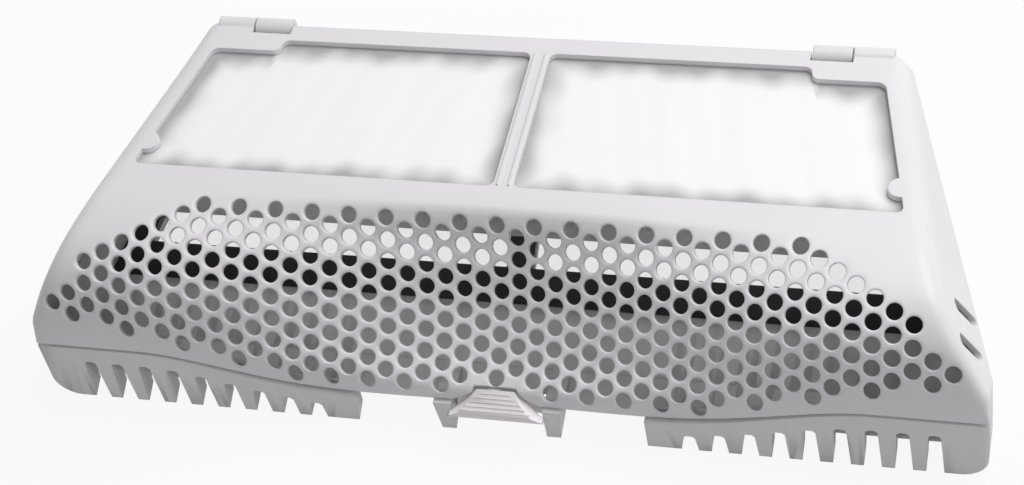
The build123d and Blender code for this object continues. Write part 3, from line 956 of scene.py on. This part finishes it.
def screen_sheet(side):
    """Mesh sheet of one upper window, a little slack, with painted shade along its edges held in an
    attribute.
    """
    sheet = named_primitive("upper_screen_sheet", bpy.ops.mesh.primitive_grid_add,
                            x_subdivisions=SCREEN_COLUMNS, y_subdivisions=SCREEN_ROWS, size=2.0)
    edge = sheet.data.attributes.new("edge", "FLOAT", "POINT")
    notch_x = window_side(WINDOW_DEPTH) - NOTCH_WIDTH
    for vertex in sheet.data.vertices:
        u, v = (vertex.co.x + 1) / 2, (vertex.co.y + 1) / 2
        rough_x = BAR_HALF + u * (window_side(WINDOW_DEPTH * v) - BAR_HALF)
        depth = WINDOW_DEPTH - (NOTCH_DEPTH if rough_x > notch_x else 0.0)
        y = -SCREEN_LAP + v * (depth + 2 * SCREEN_LAP - SCREEN_FIT)
        x = SCREEN_INNER + u * (window_side(y) + SCREEN_LAP - SCREEN_FIT - SCREEN_INNER)
        waver = ripple(UPPER_WAVES, x, y, side)
        inside = min(x - BAR_HALF, window_side(y) - x, y, depth - y)
        # Painted shade: darker towards the window edges, with a wavering border, stored in the edge
        # attribute
        shade = 1.0 - (inside - SHADE_START + SHADE_WAVER * waver) / SLACK_RUN
        edge.data[vertex.index].value = limited(shade) ** SHADE_FALL
        sag = UPPER_SLACK * limited(inside / SLACK_RUN) * (1.2 + 0.4 * waver)
        vertex.co = (side * x, y, -WALL - SCREEN_SEAT - sag)
    edit(sheet, FACE_OUT)
    if sheet.data.polygons[0].normal.z < 0:
        edit(sheet, (bpy.ops.mesh.flip_normals, {}))
    apply_modifier(sheet, "SOLIDIFY", thickness=SCREEN_THICK, offset=-1.0)
    return sheet


def lower_sheet(name):
    """Mesh sheet of one lower window, a little slack between the floor and the dark frame."""
    sheet = cad_copy(name)
    edit(sheet, (bpy.ops.mesh.subdivide, {"number_cuts": LOWER_CUTS}))
    sheet.data.transform(LAY)
    low, high = (Vector(corner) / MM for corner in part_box(name))
    for vertex in sheet.data.vertices:
        x, y = vertex.co.xy / MM
        inside = min(x - low.x, high.x - x, y - low.y, high.y - y)
        slack = LOWER_SLACK * limited((inside - LOWER_SEAT) / SLACK_RUN)
        vertex.co.z -= MM * slack * (1.2 + 0.4 * ripple(LOWER_WAVES, x, y))
    return sheet


class FILTER_OT_screens(bpy.types.Operator):
    """Models the woven screens and dresses the dark frame and the pins"""

    bl_idname = "filter.screens"
    bl_label = "Screens"

    def execute(self, context):
        settings = looks()
        # The upper cloth's darker colour is painted shade along the window edges as well as its thread
        # pattern; the lower cloth's darker colour marks only its threads
        upper = woven_mesh("upper_cloth", settings.mesh_colour, darker(settings.mesh_colour, 0.3), 0.05)
        lower = woven_mesh("lower_cloth", settings.mesh_colour, darker(settings.mesh_colour, 0.1), 0.88)
        for side, name in ((-1, "left"), (1, "right")):
            sheet = screen_sheet(side)
            sheet.data.transform(LAY)
            finish_piece(sheet, "upper", upper, node="upper_screen_" + name)
            sheet = lower_sheet("lower_screen_" + name)
            finish_piece(sheet, "lower", lower, node="lower_screen_" + name)
        grid = cad_copy("screen_frame")
        grid.data.transform(LAY)
        finish_piece(grid, "lower", moulded_plastic(
            "dark_plastic", settings.frame_colour, darker(settings.frame_colour, 0.2), 0.5),
            node="screen_frame")
        steel = drawn_steel("pin_steel", settings.pin_colour, darker(settings.pin_colour, 0.145))
        for name in ("hinge_pin_left", "hinge_pin_right"):
            node = frame["nodes"][name]
            node.data.materials.clear()
            node.data.materials.append(steel)
        return {"FINISHED"}


# Stage

PHOTO_SIZE = (1024, 485)
FOCAL_PIXELS = 2442.9
CAMERA_AT = Vector((225.3, -560.4, 645.8))
CAMERA_RIGHT = Vector((0.9659, 0.2133, -0.1464))
CAMERA_DOWN = Vector((0.0687, -0.7571, -0.6496))
STUDIO = (0.265, 0.265, 0.27, 1.0)
PAPER = (0.86, 0.86, 0.86, 1.0)
WHITE = (1.0, 1.0, 1.0, 1.0)
WHITE_SHARE = 0.9

# Soft boxes: name, place in metres, width in metres and power in watts
LIGHTS = (
    ("key_light", (0.42, 0.85, 1.0), 0.9, 14.0),
    ("side_light", (1.0, -0.05, 0.6), 0.5, 1.6),
    ("front_light", (-0.2, -0.7, 1.0), 0.8, 1.0),
)


class FILTER_OT_stage(bpy.types.Operator):
    """Adds the floor, the soft light and the camera"""

    bl_idname = "filter.stage"
    bl_label = "Stage"

    def execute(self, context):
        scene = context.scene
        scene.view_settings.view_transform = "Standard"
        floor = named_primitive("floor", bpy.ops.mesh.primitive_plane_add, size=6.0)
        floor.data.materials.append(self.pale_paper())
        world = bpy.data.worlds.new("studio")
        scene.world = world
        world.use_nodes = True
        world.node_tree.nodes["Background"].inputs[0].default_value = STUDIO
        for light in LIGHTS:
            self.soft_box(*light)
        camera = bpy.data.objects.new("camera", bpy.data.cameras.new("camera"))
        scene.collection.objects.link(camera)
        right = (TURN.to_3x3() @ CAMERA_RIGHT).normalized()
        up = -(TURN.to_3x3() @ CAMERA_DOWN).normalized()
        back = right.cross(up).normalized()
        up = back.cross(right)
        turn = Matrix((right, up, back)).transposed().to_4x4()
        camera.matrix_world = Matrix.Translation(laid(CAMERA_AT)) @ turn
        camera.data.sensor_width = 36.0
        camera.data.lens = FOCAL_PIXELS * camera.data.sensor_width / PHOTO_SIZE[0]
        camera.data.clip_end = 20.0
        scene.camera = camera
        return {"FINISHED"}

    def pale_paper(self):
        """Pale floor that is white to the eye and in reflections, and still takes the filter's shadow."""
        nodes = Nodes("pale_floor")
        seen = nodes.add("ShaderNodeLightPath", out="Is Camera Ray")
        for ray in ("Is Glossy Ray", "Is Transmission Ray"):
            seen = seen + nodes.add("ShaderNodeLightPath", out=ray)
        paper = nodes.add("ShaderNodeBsdfDiffuse", {}, {"Color": PAPER})
        white = nodes.add("ShaderNodeEmission", {}, {"Color": WHITE, "Strength": 1.0})
        return nodes.surface(nodes.add(
            "ShaderNodeMixShader", {}, {0: seen * WHITE_SHARE, 1: paper, 2: white}))

    def soft_box(self, name, place, size, power):
        """A square area light that looks at the filter."""
        lamp = bpy.data.lights.new(name, "AREA")
        lamp.size = size
        lamp.energy = power
        obj = bpy.data.objects.new(name, lamp)
        bpy.context.scene.collection.objects.link(obj)
        obj.location = place
        obj.rotation_euler = (Vector((0, 0, 0.02)) - Vector(place)).to_track_quat("-Z", "Y").to_euler()


class FILTER_PT_panel(bpy.types.Panel):
    """Lists the steps that build the filter"""

    bl_idname = "FILTER_PT_panel"
    bl_label = "Lint filter"
    bl_space_type = "VIEW_3D"
    bl_region_type = "UI"
    bl_category = "Filter"

    def draw(self, context):
        for name in FilterLooks.__annotations__:
            self.layout.prop(looks(), name)
        for operator in OPERATORS:
            self.layout.operator(operator.bl_idname)


OPERATORS = (
    FILTER_OT_upper_leaf, FILTER_OT_lower_leaf, FILTER_OT_catch, FILTER_OT_screens, FILTER_OT_stage)
CLASSES = (FilterLooks, *OPERATORS, FILTER_PT_panel)


def register():
    """Registers the classes and the settings."""
    for cls in CLASSES:
        bpy.utils.register_class(cls)
    bpy.types.Scene.filter_looks = bpy.props.PointerProperty(type=FilterLooks)


def unregister():
    """Removes the settings and the classes."""
    del bpy.types.Scene.filter_looks
    for cls in reversed(CLASSES):
        bpy.utils.unregister_class(cls)


def main():
    """Builds the whole scene."""
    register()
    bpy.ops.filter.upper_leaf()
    bpy.ops.filter.lower_leaf()
    bpy.ops.filter.catch()
    bpy.ops.filter.screens()
    bpy.ops.filter.stage()


if __name__ == "__main__":
    main()
